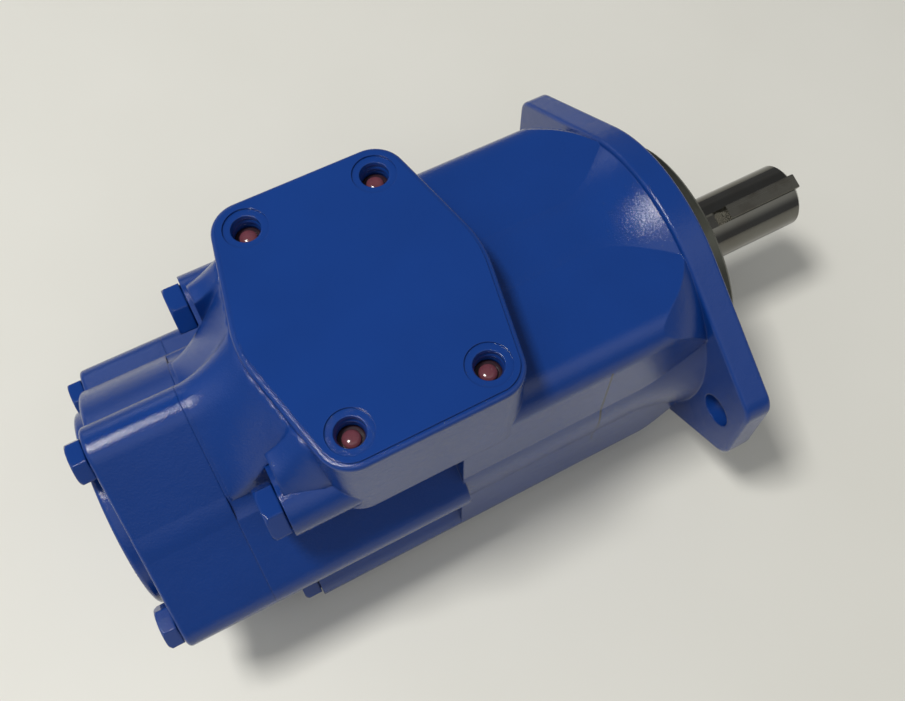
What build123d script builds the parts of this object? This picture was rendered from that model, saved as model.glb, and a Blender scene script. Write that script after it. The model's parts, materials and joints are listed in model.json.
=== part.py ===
"""Double vane pump: flanged outlet body, inlet body with a top inlet pad, end cover, two vane cartridges.

Millimetres.  +X runs out of the driven end of the shaft, +Z is the normal of the inlet pad, and the origin
is where the shaft axis meets the face of the mounting flange.  Cross-sections are drawn as (y, z).
"""
import math
import os

from build123d import *

# ---------------------------------------------------------------- mounting flange, two-bolt, 127 mm pilot
pilot_d = 127.0
pilot_length = 12.7
pilot_chamfer = 1.6
flange_thickness = 14.5
flange_mid_radius = 79.0
flange_bolt_spacing = 181.0
flange_hole_d = 17.5
flange_overall = 215.0
ear_corner_radius = 12.0
ear_end_height = 60.0
flange_blend_length = 34.0
flange_blend_step = 2.0
flange_blend_sag = 1.8
corner_shave_sag = 3.0

# ---------------------------------------------------------------- lengths along the shaft, from the flange face
joint_x = -70.0
full_section_length = 75.0
ear_face_x = -223.5
seam_x = -243.5
cover_length = 42.5
end_boss_height = 6.0
end_boss_radius = 49.0

# ---------------------------------------------------------------- body cross-section
body_bolt_pitch = 107.6
column_radius = 14.2
column_root_radius = 20.0
column_root_share = 0.7
body_bulge_radius = 69.6
core_radius = 61.0
lobe_pitch_radius = 61.7
lobe_radius = 13.0
lobe_root_radius = 19.5
lobe_root_share = 0.6
cover_core_radius = 57.0
spotface_radius = 20.5
edge_round = 2.0

# ---------------------------------------------------------------- inlet pad, 3 inch four-bolt
inlet_x = -157.3
pad_face_z = 93.6
pad_depth = 50.0
pad_spacing_x = 61.9
pad_spacing_y = 106.4
pad_corner_radius = 15.5
pad_bulge_radius = 57.0
pad_hole_d = 13.5
pad_hole_depth = 28.0
inlet_bore_d = 76.0
inlet_bore_floor_share = 0.5
sheet_thickness = 1.0
sheet_hole_d = 20.5
sheet_inset = 0.6
plug_depth = 8.0
plug_length = 10.0
plug_round = 1.2

# ---------------------------------------------------------------- outlet 1, 1 1/4 inch, opposite the inlet
outlet1_x = -41.0
outlet1_bore_d = 32.0
outlet1_floor = 2.0
outlet1_spacing_y = 58.7
outlet1_spacing_x = 30.2
outlet1_hole_d = 9.4
outlet1_hole_depth = 16.0
outlet1_pad_height = 9.0
outlet1_corner_radius = 11.0
outlet1_slot_width = 30.0

# ---------------------------------------------------------------- outlet 2, 1 inch, on the cover, 135 degrees from the inlet
outlet2_bore_d = 25.4
outlet2_spacing_across = 52.4
outlet2_spacing_x = 26.2
outlet2_hole_d = 8.4
outlet2_hole_depth = 14.0
outlet2_pad_distance = 72.0
outlet2_corner_radius = 7.5
outlet2_pad_inset = 0.25
outlet2_wall = 4.0

# ---------------------------------------------------------------- shaft
shaft_d = 34.92
shaft_extension = 92.0
shaft_end_chamfer = 1.6
key_width = 7.94
key_length = 44.0
key_inset = 0.8
key_chamfer = 0.5
keyway_length = 66.0
key_height_over_shaft = 3.9
key_turn = 15.0
bearing_seat_radius = 20.0
shoulder_radius = 23.0
shoulder_width = 2.0
seal_journal_radius = 19.0
front_spline_radius = 17.0
rear_spline_radius = 14.0
waist_radius = 13.5
tail_radius = 12.5
tail_inset = 1.0
spline_teeth = 10
spline_depth = 1.6
tooth_share = 0.9

# ---------------------------------------------------------------- ball bearing and what holds it
bearing_width = 18.0
bearing_outer_radius = 40.0
bearing_front_x = 8.0
outer_race_wall = 6.4
inner_race_wall = 6.4
ball_size_share = 0.2975
ball_count = 9
race_clearance = 0.12
race_chamfer = 0.8
cage_thickness = 2.4
cage_width = 12.5
ring_thickness = 2.0
ring_groove_depth = 1.8
ring_land = 3.5
ring_rim_gap = 0.3
ring_gap_angle = 9.0
shaft_ring_thickness = 1.75
shaft_ring_depth = 1.2
shaft_ring_stand = 2.2
shaft_ring_gap_angle = 14.0

# ---------------------------------------------------------------- shaft seal, bush, joint seals
seal_outer_radius = 29.0
seal_width = 11.0
seal_case = 2.6
seal_bearing_gap = 2.0
lip_rise = 1.6
lip_back = 2.5
lip_run = 1.5
lip_tail = 4.0
lip_thickness = 2.5
bush_length = 16.0
bush_outer_radius = 15.5
bush_floor = 4.0
joint_seal_radius = 59.5
cover_seal_radius = 53.2
seal_ring_section = 1.25
seal_groove_gap = 0.15

# ---------------------------------------------------------------- clearances
seat_gap = 0.01
running_gap = 0.05
cartridge_gap = 0.3
bolt_gap = 0.3
slot_gap = 0.03

# ---------------------------------------------------------------- vane cartridges
side_plate_thickness = 1.0
front_cartridge_radius = 56.0
front_plate_length = 20.0
front_ring_length = 38.0
front_setback = 30.0
front_cam_minor = 38.0
front_cam_major = 42.0
front_vanes = 12
rear_cartridge_radius = 50.0
rear_plate_length = 16.0
rear_ring_length = 30.0
rear_setback = 60.0
rear_cam_minor = 32.0
rear_cam_major = 35.4
rear_vanes = 10
rotor_tip_gap = 0.3
vane_thickness = 2.4
vane_land = 5.0
vane_foot_gap = 0.2
vane_foot_share = 0.8
insert_width = 10.0
insert_share = 0.45
plate_bore_gap = 3.0
plate_port_length = 26.0
plate_port_width = 8.0
plate_port_shift = 3.0
outlet_port_angle = 45.0
inlet_port_angle = 135.0
screw_angle = 45.0
dowel_angle = 135.0
chamber_depth = 8.0

# ---------------------------------------------------------------- fasteners
body_bolt_d = 14.0
body_bolt_flats = 22.0
body_bolt_head = 9.0
body_bolt_reach = 30.0
cover_bolt_d = 12.0
cover_bolt_flats = 18.0
cover_bolt_head = 7.5
cover_bolt_reach = 30.0
drill_over_travel = 4.0
cartridge_screw_d = 5.0
dowel_d = 5.0
pin_inset = 1.0
washer_face = 0.6
washer_face_share = 0.475
head_corner_share = 0.575
head_chamfer_share = 0.16
shank_chamfer_share = 0.1

os.makedirs("parts", exist_ok=True)
EPS = 0.01
body_bolt_y = body_bolt_pitch / 2
body_half_width = body_bolt_y + column_radius
full_section_end_x = joint_x - full_section_length
cover_end_x = seam_x - cover_length
outlet1_pad_z = -body_half_width - outlet1_pad_height
outlet2_x = seam_x - cover_length / 2
bearing_back_x = bearing_front_x - bearing_width
outer_race_inner_radius = bearing_outer_radius - outer_race_wall
inner_race_outer_radius = bearing_seat_radius + inner_race_wall
ball_pitch_radius = (bearing_seat_radius + bearing_outer_radius) / 2
ball_radius = ball_size_share * (bearing_outer_radius - bearing_seat_radius)
seal_front_x = bearing_back_x - seal_bearing_gap
seal_back_x = seal_front_x - seal_width
front_start_x = joint_x + front_setback
rear_start_x = seam_x + rear_setback
rear_end_x = rear_start_x - 2 * rear_plate_length - rear_ring_length - 2 * side_plate_thickness
bush_front_x = cover_end_x + bush_length + bush_floor
lobe_run = full_section_end_x - seam_x


def section_at(x, sketch):
    """Put a (y, z) sketch on the plane across the shaft at x."""
    return Plane.YZ.offset(x) * sketch


def prism(x_low, x_high, sketch):
    """Solid of a (y, z) sketch between two stations on the shaft axis."""
    return extrude(section_at(x_low, sketch), amount=x_high - x_low)


def tube(x_low, x_high, outer, inner=0.0):
    """Round solid on the shaft axis, with a bore when inner is given."""
    body = prism(x_low, x_high, Circle(outer))
    if inner > 0:
        body -= prism(x_low - 1, x_high + 1, Circle(inner))
    return body


def rod(point, direction, length, radius):
    """Round solid from a point along a direction."""
    return extrude(Plane(origin=point, z_dir=direction) * Circle(radius), amount=length)


def ring_places(radius, count, start=0.0):
    """(y, z) points on a circle, the first at the start angle in degrees."""
    turn = [math.radians(start + 360.0 * i / count) for i in range(count)]
    return [(radius * math.cos(a), radius * math.sin(a)) for a in turn]


def hull_of(circles):
    """Outline drawn tight around circles given as (y, z, radius)."""
    edges = ShapeList()
    for y, z, r in circles:
        edges += (Pos(y, z) * Circle(r)).edges()
    return make_hull(edges)


def softened(solid, edges, radius):
    """Fillet the edges, leaving the solid as it is when there are none."""
    return fillet(edges, radius) if edges else solid


body_bolt_places = [(sy * body_bolt_y, sz * body_bolt_y) for sy in (1, -1) for sz in (1, -1)]
cover_bolt_places = ring_places(lobe_pitch_radius, 4, 90.0)
near_lobe = cover_bolt_places[1]
top_lobe = cover_bolt_places[0]


def lobed_outline():
    """Round core with four bolt lobes, filled flat between the top lobe and the near one."""
    outline = Sketch() + Circle(cover_core_radius)
    for y, z in cover_bolt_places:
        outline += hull_of([(y, z, lobe_radius), (y * lobe_root_share, z * lobe_root_share, lobe_root_radius)])
    outline += hull_of([(*top_lobe, lobe_radius), (*near_lobe, lobe_radius), (0, 0, lobe_radius)])
    return outline


def body_outline():
    """Section of both bodies at their joint: a round barrel with a bolt column in each corner."""
    square = hull_of([(y, z, column_radius) for y, z in body_bolt_places])
    return square + Circle(body_bulge_radius)


def pad_outline():
    """Inlet pad seen from above, as (x, y): four corner rounds and the bulge round the port."""
    corners = [
        (inlet_x + sx * pad_spacing_x / 2, sy * pad_spacing_y / 2, pad_corner_radius)
        for sx in (1, -1)
        for sy in (1, -1)
    ]
    return hull_of(corners + [(inlet_x, 0, pad_bulge_radius)])


pad_holes = [(inlet_x + sx * pad_spacing_x / 2, sy * pad_spacing_y / 2) for sx in (1, -1) for sy in (1, -1)]


# ---------------------------------------------------------------- castings
def flange_blend():
    """Hollow-curved cone that carries the barrel out to the rim of the flange."""
    x0, x1 = -flange_thickness - flange_blend_length, -flange_thickness + 1
    low, high = body_bulge_radius - EPS, flange_mid_radius - flange_blend_step
    sag = low + (high - low) / 2 - flange_blend_sag
    curve = ThreePointArc((x0, low), ((x0 + x1) / 2, sag), (x1, high))
    edges = Polyline((x1, high), (x1, bearing_outer_radius), (x0, bearing_outer_radius), (x0, low))
    return revolve(Plane.XY * make_face(curve.edges() + edges.edges()), Axis.X)


def flange_envelope():
    """Round-nosed cone that shaves the four corners of the barrel down to the rim of the flange."""
    x0, x1 = -flange_thickness - flange_blend_length, -flange_thickness + 1
    corner = math.hypot(body_bolt_y, body_bolt_y) + column_radius + 1
    high = flange_mid_radius - flange_blend_step
    sag = (corner + high) / 2 + corner_shave_sag
    curve = ThreePointArc((x0, corner), ((x0 + x1) / 2, sag), (x1, high))
    edges = Polyline((x1, high), (x1, 0), (joint_x - 1, 0), (joint_x - 1, corner), (x0, corner))
    return revolve(Plane.XY * make_face(curve.edges() + edges.edges()), Axis.X)


def make_outlet_body():
    """Flange, pilot and drum in one casting, bored for the bearing, the seal and the front cartridge."""
    ear_y = flange_overall / 2 - ear_corner_radius
    ear_z = ear_end_height / 2 - ear_corner_radius
    corners = [(sy * ear_y, sz * ear_z, ear_corner_radius) for sy in (1, -1) for sz in (1, -1)]
    flange = prism(-flange_thickness, 0, hull_of(corners + [(0, 0, flange_mid_radius)]))
    flange = softened(flange, flange.edges().group_by(Axis.X)[-1], edge_round)
    flange = softened(flange, flange.edges().group_by(Axis.X)[0], edge_round)
    drum = prism(joint_x, -flange_thickness + 1, body_outline()) & flange_envelope()
    body = flange + drum + flange_blend()
    pilot = tube(-1, pilot_length, pilot_d / 2)
    pilot = chamfer(pilot.edges().group_by(Axis.X)[-1], pilot_chamfer)
    body += pilot
    pad = Pos(outlet1_x, 0) * RectangleRounded(
        outlet1_spacing_x + 2 * outlet1_corner_radius,
        outlet1_spacing_y + 2 * outlet1_corner_radius,
        outlet1_corner_radius,
    )
    body += extrude(Plane.XY.offset(outlet1_pad_z) * pad, amount=outlet1_pad_height + column_radius)
    body -= tube(bearing_back_x, pilot_length + 1, bearing_outer_radius + seat_gap)
    groove_back = bearing_front_x
    body -= tube(groove_back, groove_back + ring_thickness, bearing_outer_radius + ring_groove_depth)
    body -= tube(seal_back_x, bearing_back_x + 1, seal_outer_radius + seat_gap)
    body -= tube(front_start_x, seal_back_x + 1, seal_journal_radius + plate_bore_gap)
    body -= tube(front_start_x - 1, front_start_x + chamber_depth, bearing_outer_radius)
    body -= tube(joint_x - 1, front_start_x, front_cartridge_radius)
    port_top = -front_cartridge_radius - outlet1_floor
    body -= rod((outlet1_x, 0, outlet1_pad_z - 1), (0, 0, 1), port_top - outlet1_pad_z + 1, outlet1_bore_d / 2)
    slot = Pos(front_start_x + chamber_depth / 2, 0) * SlotOverall(outlet1_slot_width, chamber_depth, rotation=90)
    body -= extrude(Plane.XY.offset(port_top - 1) * slot, amount=-port_top + 1 - bearing_outer_radius / 2)
    for sx in (1, -1):
        for sy in (1, -1):
            place = (outlet1_x + sx * outlet1_spacing_x / 2, sy * outlet1_spacing_y / 2, outlet1_pad_z - 1)
            body -= rod(place, (0, 0, 1), outlet1_hole_depth + 1, outlet1_hole_d / 2)
    for y, z in body_bolt_places:
        body -= rod((joint_x - 1, y, z), (1, 0, 0), body_bolt_reach + drill_over_travel + 1, body_bolt_d / 2)
    for sy in (1, -1):
        place = (-flange_thickness - 1, sy * flange_bolt_spacing / 2, 0)
        body -= rod(place, (1, 0, 0), flange_thickness + 2, flange_hole_d / 2)
    body -= seal_groove(joint_x, joint_seal_radius)
    return body


def seal_groove(x, radius):
    """Square groove for a joint seal, cut towards +X into the face at x."""
    half = seal_ring_section + seal_groove_gap
    return tube(x - 1, x + 2 * seal_ring_section, radius + half, radius - half)


def make_inlet_body():
    """Inlet casting: barrel, core, bolt columns, lobed neck at the cover end, and the pad block over the port."""
    body = prism(full_section_end_x, joint_x, body_outline())
    body += tube(ear_face_x, full_section_end_x + 1, core_radius)
    for y, z in body_bolt_places:
        root = (y * column_root_share, z * column_root_share, column_root_radius)
        body += prism(ear_face_x, full_section_end_x + 1, hull_of([(y, z, column_radius), root]))
    body += prism(seam_x, seam_x + lobe_run + 1, lobed_outline())
    block = extrude(Plane.XY.offset(pad_face_z - pad_depth) * pad_outline(), amount=pad_depth)
    block = softened(block, block.edges().group_by(Axis.Z)[-1], edge_round)
    body += block
    body -= tube(rear_start_x, joint_x + 1, front_cartridge_radius)
    body -= tube(seam_x - 1, rear_start_x + 1, rear_cartridge_radius)
    port_low = front_cartridge_radius * inlet_bore_floor_share
    body -= rod((inlet_x, 0, port_low), (0, 0, 1), pad_face_z - port_low + 1, inlet_bore_d / 2)
    for x, y in pad_holes:
        body -= rod((x, y, pad_face_z - pad_hole_depth), (0, 0, 1), pad_hole_depth + 1, pad_hole_d / 2)
    for y, z in body_bolt_places:
        body -= rod((ear_face_x - 1, y, z), (1, 0, 0), joint_x - ear_face_x + 2, body_bolt_d / 2 + bolt_gap)
        body -= rod((seam_x - 1, y, z), (1, 0, 0), ear_face_x - seam_x + 1, spotface_radius)
    for y, z in cover_bolt_places:
        body -= rod((seam_x - 1, y, z), (1, 0, 0), cover_bolt_reach + drill_over_travel + 1, cover_bolt_d / 2)
    body -= seal_groove(seam_x, cover_seal_radius)
    return body


def make_end_cover():
    """Lobed cover with the round end boss, the rear pressure chamber, the shaft bush and outlet 2."""
    cover = prism(cover_end_x, seam_x, lobed_outline())
    cover = softened(cover, cover.edges().group_by(Axis.X)[0], edge_round)
    boss = tube(cover_end_x - end_boss_height, cover_end_x + 1, end_boss_radius)
    boss = softened(boss, boss.edges().group_by(Axis.X)[0], edge_round)
    cover += boss
    outward = Vector(0, 1, -1).normalized()
    port_plane = Plane(origin=(outlet2_x, 0, 0), x_dir=(1, 0, 0), z_dir=outward)
    pad = RectangleRounded(
        cover_length - 2 * outlet2_pad_inset,
        outlet2_spacing_across + 2 * outlet2_corner_radius,
        outlet2_corner_radius,
    )
    pad_root = rear_cam_minor
    cover += extrude(port_plane.offset(pad_root) * pad, amount=outlet2_pad_distance - pad_root)
    cover -= tube(rear_end_x - seat_gap, seam_x + 1, rear_cartridge_radius)
    cover -= tube(bush_front_x, rear_end_x + 1, rear_cam_minor)
    cover -= tube(bush_front_x - bush_length, bush_front_x + 1, bush_outer_radius + seat_gap)
    port_start = rear_cam_minor - outlet2_wall
    port = extrude(port_plane.offset(port_start) * Circle(outlet2_bore_d / 2), amount=outlet2_pad_distance)
    cover -= port
    for sx in (1, -1):
        for sy in (1, -1):
            hole = Pos(sx * outlet2_spacing_x / 2, sy * outlet2_spacing_across / 2) * Circle(outlet2_hole_d / 2)
            start = outlet2_pad_distance - outlet2_hole_depth
            cover -= extrude(port_plane.offset(start) * hole, amount=outlet2_hole_depth + 1)
    for y, z in cover_bolt_places:
        cover -= rod((cover_end_x - 1, y, z), (1, 0, 0), cover_length + 2, cover_bolt_d / 2 + bolt_gap)
    return cover


# ---------------------------------------------------------------- fasteners and small pieces
def hex_bolt(tip, length, diameter, flats, head):
    """Hexagon bolt along X: tip at the given point, head on the -X side, washer face under the head."""
    x, y, z = tip
    shank = rod((x - length, y, z), (1, 0, 0), length, diameter / 2)
    shank = chamfer(shank.edges().group_by(Axis.X)[-1], diameter * shank_chamfer_share)
    hexagon = RegularPolygon(flats / 2, 6, major_radius=False)
    top = rod((x - length - head, y, z), (1, 0, 0), head - washer_face, flats * head_corner_share)
    top = chamfer(top.edges().group_by(Axis.X)[0], head * head_chamfer_share)
    top &= prism(x - length - head, x - length - washer_face, Pos(y, z) * hexagon)
    washer = rod((x - length - washer_face, y, z), (1, 0, 0), washer_face, flats * washer_face_share)
    return shank + top + washer


def make_body_bolts():
    """Four long bolts from the ears of the inlet body into the outlet body."""
    tip_x = joint_x + body_bolt_reach
    length = tip_x - ear_face_x
    tips = [(tip_x, y, z) for y, z in body_bolt_places]
    return Compound(children=[hex_bolt(t, length, body_bolt_d - 2 * EPS, body_bolt_flats, body_bolt_head)
                              for t in tips])


def make_cover_bolts():
    """Four bolts through the cover lobes into the inlet body."""
    length = cover_length + cover_bolt_reach
    tips = [(seam_x + cover_bolt_reach, y, z) for y, z in cover_bolt_places]
    return Compound(children=[hex_bolt(t, length, cover_bolt_d - 2 * EPS, cover_bolt_flats, cover_bolt_head)
                              for t in tips])


def make_thread_plugs():
    """Four plastic caps pushed into the tapped holes of the inlet pad."""
    plugs = []
    for x, y in pad_holes:
        plug = rod((x, y, pad_face_z - plug_depth - plug_length), (0, 0, 1), plug_length, pad_hole_d / 2 - seat_gap)
        plug = fillet(plug.edges().group_by(Axis.Z)[-1], plug_round)
        plugs.append(plug)
    return Compound(children=plugs)


def make_inlet_sheet():
    """Thin transit sheet stuck over the inlet pad, with clearance round each tapped hole."""
    outline = offset(pad_outline(), amount=-edge_round - sheet_inset)
    for x, y in pad_holes:
        outline -= Pos(x, y) * Circle(sheet_hole_d / 2)
    return extrude(Plane.XY.offset(pad_face_z) * outline, amount=sheet_thickness)


def seal_ring(x, radius):
    """Round-section joint seal lying in its groove."""
    profile = Pos(radius, 0) * Circle(seal_ring_section)
    ring = revolve(Plane.XZ * profile, Axis.Z)
    return Pos(x + seal_ring_section, 0, 0) * Rot(0, 90, 0) * ring


def revolved(points):
    """Solid of revolution about the shaft axis from (x, radius) corners."""
    outline = make_face(Polyline(*points, close=True))
    return revolve(Plane.XY * outline, Axis.X)


def make_shaft_seal():
    """Lip seal: metal-cased rubber ring with a lip that rides on the shaft."""
    lip = seal_journal_radius + running_gap
    x0, x1 = seal_back_x, seal_front_x
    return revolved([
        (x0, seal_outer_radius),
        (x1, seal_outer_radius),
        (x1, lip + lip_back),
        (x1 - seal_case, lip + lip_back),
        (x1 - seal_case - lip_run, lip),
        (x1 - seal_case - lip_tail, lip + lip_rise),
        (x1 - seal_case - lip_tail, lip + lip_rise + lip_thickness),
        (x1 - seal_case, lip + lip_back + lip_thickness),
        (x1 - seal_case, seal_outer_radius - seal_case),
        (x0, seal_outer_radius - seal_case),
    ])


def make_bearing():
    """Deep-groove ball bearing: outer ring, inner ring, balls, cage."""
    x0, x1 = bearing_back_x, bearing_front_x
    mid = (x0 + x1) / 2
    race = revolve(Plane.XY * (Pos(mid, ball_pitch_radius) * Circle(ball_radius + race_clearance)), Axis.X)
    outer = tube(x0, x1, bearing_outer_radius, outer_race_inner_radius)
    outer = chamfer(outer.edges().sort_by(lambda e: -e.length)[:2], race_chamfer) - race
    inner = tube(x0, x1, inner_race_outer_radius, bearing_seat_radius + seat_gap) - race
    balls = [Pos(mid, y, z) * Sphere(ball_radius) for y, z in ring_places(ball_pitch_radius, ball_count, 90)]
    cage = tube(mid - cage_width / 2, mid + cage_width / 2,
                ball_pitch_radius + cage_thickness / 2, ball_pitch_radius - cage_thickness / 2)
    for y, z in ring_places(ball_pitch_radius, ball_count, 90):
        cage -= Pos(mid, y, z) * Sphere(ball_radius + race_clearance)
    return outer, inner, Compound(children=balls), cage


def split_ring(x, outer, inner, thickness, gap_angle):
    """Flat retaining ring across the shaft with a gap at the bottom and a lug each side of it."""
    ring = tube(x, x + thickness, outer, inner)
    wedge_y = outer * math.sin(math.radians(gap_angle))
    ring -= prism(x - 1, x + thickness + 1, Pos(0, -outer) * Rectangle(2 * wedge_y, outer))
    return ring


def make_bush():
    """Plain bush that carries the tail of the shaft in the cover."""
    return tube(bush_front_x - bush_length, bush_front_x, bush_outer_radius, tail_radius + running_gap)


# ---------------------------------------------------------------- shaft
def spline_outline(radius):
    """Toothed shaft section."""
    outline = Sketch() + Circle(radius - spline_depth)
    tooth = math.pi * radius / spline_teeth * tooth_share
    for i in range(spline_teeth):
        outline += Rot(0, 0, 360.0 * i / spline_teeth) * Pos(radius / 2, 0) * Rectangle(radius, tooth)
    return outline & Circle(radius)


def make_shaft():
    """Stepped shaft: keyed extension, bearing seat, seal journal, two splined lands and the tail."""
    front_land = front_start_x - front_plate_length - side_plate_thickness
    front_land_end = front_land - front_ring_length
    rear_land = rear_start_x - rear_plate_length - side_plate_thickness
    rear_land_end = rear_land - rear_ring_length
    tail_end = bush_front_x - bush_length + tail_inset
    seat_front = bearing_front_x + 2 * shaft_ring_thickness
    shaft = tube(seat_front, shaft_extension, shaft_d / 2)
    shaft = chamfer(shaft.edges().group_by(Axis.X)[-1], shaft_end_chamfer)
    shaft += tube(bearing_back_x, seat_front, bearing_seat_radius)
    shaft -= tube(bearing_front_x, bearing_front_x + shaft_ring_thickness, bearing_seat_radius + 1,
                  bearing_seat_radius - shaft_ring_depth)
    shaft += tube(bearing_back_x - shoulder_width, bearing_back_x, shoulder_radius)
    shaft += tube(front_land, bearing_back_x - 1, seal_journal_radius)
    shaft += prism(front_land_end, front_land, spline_outline(front_spline_radius))
    shaft += tube(rear_land, front_land_end, waist_radius)
    shaft += prism(rear_land_end, rear_land, spline_outline(rear_spline_radius))
    shaft += tube(tail_end, rear_land_end, tail_radius)
    keyway = key_bar(keyway_length + 1, key_width)
    shaft -= Rot(key_turn, 0, 0) * Pos(shaft_extension + 1, 0, 0) * keyway
    return shaft


def key_bar(length, width):
    """Square-ended bar seated in the top of the shaft, ending at x = 0, before it is turned to its place."""
    bottom = shaft_d / 2 - (key_width - key_height_over_shaft)
    return Pos(0, 0, bottom) * Box(length, width, key_width, align=(Align.MAX, Align.CENTER, Align.MIN))


def make_key():
    """Parallel key seated in the keyway with a small clearance."""
    bar = key_bar(key_length, key_width - 2 * EPS)
    bar = chamfer(bar.edges().filter_by(Axis.X).group_by(Axis.Z)[-1], key_chamfer)
    return Rot(key_turn, 0, 0) * Pos(shaft_extension - key_inset, 0, 0) * bar


# ---------------------------------------------------------------- cartridges
class Cartridge:
    """Ring, rotor, vanes, plates and fixings of one pumping stage, stacked from start_x towards -X."""

    def __init__(self, start_x, radius, plate, ring, minor, major, vanes, land, bore):
        self.x = [start_x]
        steps = [plate, side_plate_thickness, ring, side_plate_thickness, plate]
        for step in steps:
            self.x.append(self.x[-1] - step)
        self.radius = radius - cartridge_gap
        self.minor = minor
        self.major = major
        self.vanes = vanes
        self.land = land
        self.bore = bore
        self.screw_radius = (self.radius + major) / 2
        self.rotor_radius = minor - rotor_tip_gap

    def fixing_places(self, start):
        """Two opposite (y, z) places in the wall of the ring."""
        return ring_places(self.screw_radius, 2, start)

    def drilled(self, solid, low, high):
        """Screw and dowel holes through a ring or plate."""
        for y, z in self.fixing_places(screw_angle):
            solid -= rod((low - 1, y, z), (1, 0, 0), high - low + 2, cartridge_screw_d / 2 + EPS)
        for y, z in self.fixing_places(dowel_angle):
            solid -= rod((low - 1, y, z), (1, 0, 0), high - low + 2, dowel_d / 2 + EPS)
        return solid

    def plate(self, index, port_angle):
        """End plate with two kidney ports."""
        high, low = self.x[index], self.x[index + 1]
        body = tube(low, high, self.radius, self.bore)
        mid = (self.bore + self.minor) / 2 + plate_port_shift
        for y, z in ring_places(mid, 2, port_angle):
            slot = Pos(y, z) * Rot(0, 0, port_angle) * SlotOverall(plate_port_length, plate_port_width, rotation=90)
            body -= prism(low - 1, high + 1, slot)
        return self.drilled(body, low, high)

    def side_plates(self):
        """The two thin wear plates against the ring."""
        plates = []
        for index in (1, 3):
            high, low = self.x[index], self.x[index + 1]
            plates.append(self.drilled(tube(low, high, self.radius, self.bore), low, high))
        return Compound(children=plates)

    def ring(self):
        """Cam ring: round outside, oval bore."""
        high, low = self.x[2], self.x[3]
        body = tube(low, high, self.radius) - prism(low - 1, high + 1, Ellipse(self.major, self.minor))
        return self.drilled(body, low, high)

    def vane_height(self):
        """Radial height of a vane."""
        return self.rotor_radius - self.land - vane_land

    def vane_foot(self):
        """Radius at which the foot of a vane stands when it is drawn in."""
        return self.rotor_radius - self.vane_height() + vane_foot_gap

    def rotor(self):
        """Rotor with radial vane slots and a splined bore."""
        high, low = self.x[2] - running_gap, self.x[3] + running_gap
        body = tube(low, high, self.rotor_radius)
        cut = Sketch() + spline_outline(self.land + slot_gap)
        inner = self.rotor_radius - self.vane_height()
        width = vane_thickness + 2 * slot_gap
        for i in range(self.vanes):
            slot = Pos((inner + self.rotor_radius) / 2 + 1, 0) * Rectangle(self.vane_height() + 2, width)
            foot = Pos(inner, 0) * Circle(width * vane_foot_share)
            cut += Rot(0, 0, 360.0 * (i + 0.5) / self.vanes) * (slot + foot)
        return body - prism(low - 1, high + 1, cut)

    def vane_set(self):
        """Vanes drawn in to the rotor's rim, each with a pocket for its insert."""
        high, low = self.x[2] - 2 * running_gap, self.x[3] + 2 * running_gap
        return self.radial_bars(low, high, self.vane_foot(), True)

    def insert_set(self):
        """Small inserts that push the vanes out."""
        mid = (self.x[2] + self.x[3]) / 2
        return self.radial_bars(mid - insert_width / 2 + EPS, mid + insert_width / 2 - EPS, self.vane_foot(), False)

    def radial_bars(self, low, high, inner, pocketed):
        """Flat bars in every slot; the pocketed ones are cut away where an insert sits."""
        outer = self.rotor_radius
        pocket = self.vane_height() * insert_share
        mid = (low + high) / 2
        bars = []
        for i in range(self.vanes):
            reach = outer if pocketed else inner + pocket - EPS
            bar = Pos((inner + reach) / 2, 0) * Rectangle(reach - inner, vane_thickness)
            bar = prism(low, high, Rot(0, 0, 360.0 * (i + 0.5) / self.vanes) * bar)
            if pocketed:
                cut = Pos(inner + pocket / 2 - 1, 0) * Rectangle(pocket + 2, vane_thickness + 1)
                cut = Rot(0, 0, 360.0 * (i + 0.5) / self.vanes) * cut
                bar -= prism(mid - insert_width / 2, mid + insert_width / 2, cut)
            bars.append(bar)
        return Compound(children=bars)

    def screws(self):
        """Two long socket screws that clamp the stack."""
        return self.pins(screw_angle, cartridge_screw_d / 2)

    def dowels(self):
        """Two dowels that line the stack up."""
        return self.pins(dowel_angle, dowel_d / 2)

    def pins(self, start, radius):
        """Two pins through the whole stack."""
        low, high = self.x[5] + pin_inset, self.x[0] - pin_inset
        return Compound(children=[rod((low, y, z), (1, 0, 0), high - low, radius)
                                  for y, z in self.fixing_places(start)])


front = Cartridge(front_start_x, front_cartridge_radius, front_plate_length, front_ring_length,
                  front_cam_minor, front_cam_major, front_vanes, front_spline_radius,
                  seal_journal_radius + plate_bore_gap)
rear = Cartridge(rear_start_x, rear_cartridge_radius, rear_plate_length, rear_ring_length,
                 rear_cam_minor, rear_cam_major, rear_vanes, rear_spline_radius,
                 rear_spline_radius + plate_bore_gap)

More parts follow.
